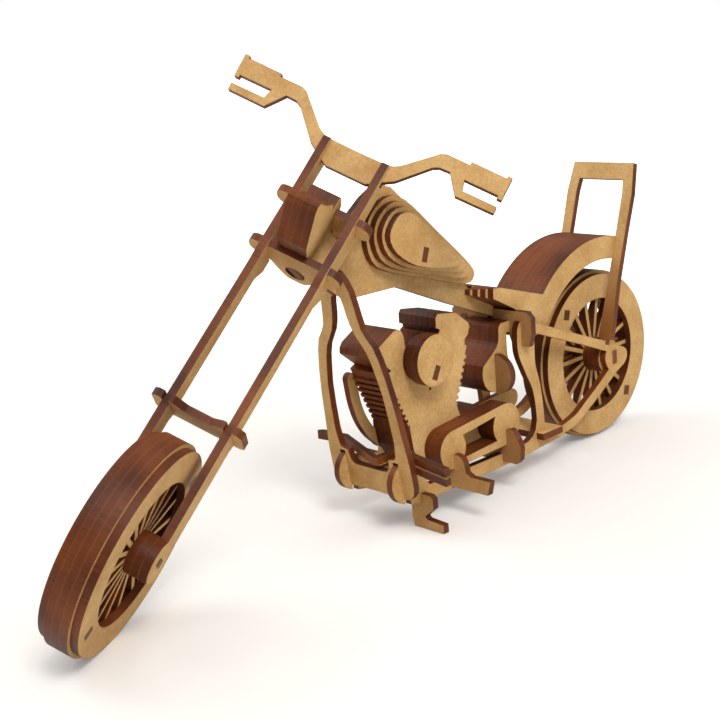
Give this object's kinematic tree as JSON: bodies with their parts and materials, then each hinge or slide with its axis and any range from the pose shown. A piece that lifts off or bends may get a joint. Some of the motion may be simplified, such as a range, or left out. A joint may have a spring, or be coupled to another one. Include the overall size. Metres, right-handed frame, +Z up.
{
  "type": "model chopper motorcycle",
  "caption": "Slotted flat-sheet model of a long-fork chopper motorcycle with a steered fork and two spoked wheels that turn on their axles.",
  "frame": {"origin": "on the floor under the rear axle, on the centre plane of the frame", "axes": "+X to the rear, +Y to the rider's right, +Z up"},
  "size_m": [0.3484, 0.0951, 0.1926],
  "materials": {
    "mdf_face": "matte raw board face",
    "mdf_charred": "matte, browned by the laser cut"
  },
  "bodies": {
    "frame": {"backbone": "mdf_face", "tank_ply_1": "mdf_charred", "tank_ply_2": "mdf_face", "tank_ply_3": "mdf_charred", "tank_ply_4": "mdf_face", "layer_keys": "mdf_charred", "side_frames": "mdf_face", "front_loop": "mdf_face", "engine_plies_a": "mdf_face", "engine_plies_b": "mdf_charred", "air_cleaner_a": "mdf_face", "air_cleaner_b": "mdf_charred", "exhaust_front": "mdf_face", "exhaust_rear": "mdf_face", "primary_cover_a": "mdf_face", "primary_cover_b": "mdf_charred", "forward_peg_top": "mdf_face", "forward_peg_base": "mdf_charred", "foot_peg_plate": "mdf_face", "rear_key_plate": "mdf_face", "kickstand": "mdf_face", "oil_tank_plies_a": "mdf_face", "oil_tank_plies_b": "mdf_charred", "seat_cross_plate": "mdf_face", "rear_cross_plate": "mdf_face", "fender_plies_a": "mdf_face", "fender_plies_b": "mdf_charred", "sissy_bar": "mdf_face", "rear_axle": "mdf_face"},
    "fork": {"fork_plates": "mdf_face", "lower_tree": "mdf_face", "upper_tree": "mdf_face", "fork_brace": "mdf_face", "handlebar": "mdf_face", "headlight_plies_a": "mdf_face", "headlight_plies_b": "mdf_charred", "front_axle": "mdf_face"},
    "front_wheel": {"front_wheel_rings": "mdf_face", "front_wheel_spoked": "mdf_face", "front_wheel_middle": "mdf_charred", "front_wheel_hub_a": "mdf_face", "front_wheel_hub_b": "mdf_face", "front_wheel_keys": "mdf_face"},
    "rear_wheel": {"rear_wheel_rings": "mdf_face", "rear_wheel_spoked": "mdf_face", "rear_wheel_middle": "mdf_charred", "rear_wheel_hub_a": "mdf_face", "rear_wheel_hub_b": "mdf_face", "rear_wheel_keys": "mdf_face"}
  },
  "joints": [
    {"name": "steering", "type": "hinge", "parent": "frame", "child": "fork", "pos_m": [-0.2957, 0, 0], "axis": [0.7266, 0, 0.6871], "range_deg": [-78, 0]},
    {"name": "front_wheel_spin", "type": "hinge", "parent": "fork", "child": "front_wheel", "pos_m": [-0.27034, -0.00806, 0.03767], "axis": [-0.4324, 0.7771, 0.4572], "continuous": true},
    {"name": "rear_wheel_spin", "type": "hinge", "parent": "frame", "child": "rear_wheel", "pos_m": [0, 0, 0.04], "axis": [0, 1, 0], "continuous": true}
  ]
}
